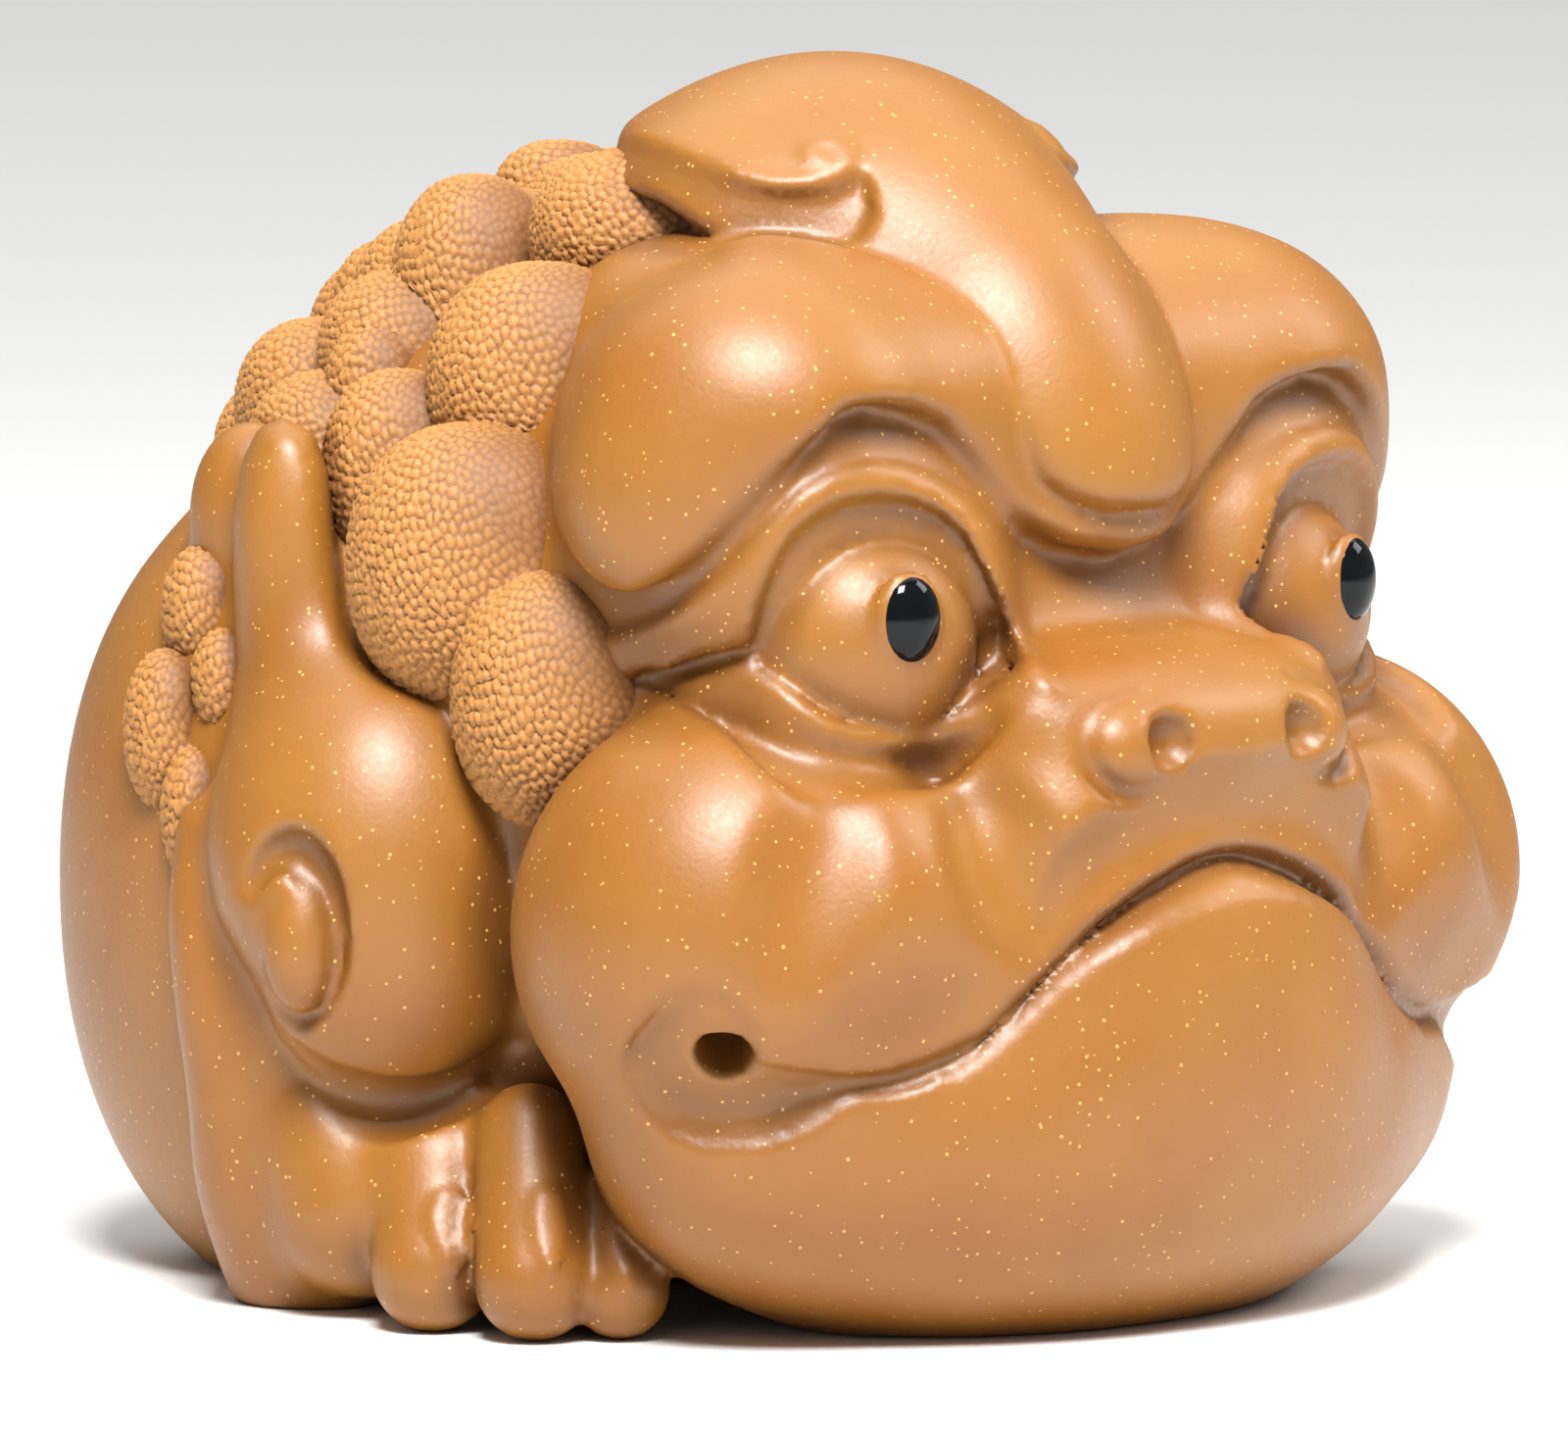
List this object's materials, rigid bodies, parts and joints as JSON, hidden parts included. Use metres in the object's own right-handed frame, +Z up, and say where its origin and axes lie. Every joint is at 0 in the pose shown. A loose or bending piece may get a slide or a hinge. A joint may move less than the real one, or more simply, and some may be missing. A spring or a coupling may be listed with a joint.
{
  "type": "toad figurine",
  "caption": "Squat seated toad figurine in golden stoneware with a warty back, scowling face, curled crest and glossy black bead pupils.",
  "frame": {"origin": "on the surface it stands on, under the middle of the figurine's bounding box", "axes": "+Z up, the toad faces -Y, its right side is at -X and its left side at +X"},
  "size_m": [0.093, 0.0943, 0.084],
  "materials": {
    "clay": "burnished unglazed golden stoneware, semi-gloss, with fine pale sand specks",
    "bead": "glossy black glazed ceramic bead"
  },
  "bodies": {
    "root": {"toad_body": "clay", "pupil_right": "bead", "pupil_left": "bead"}
  },
  "joints": []
}
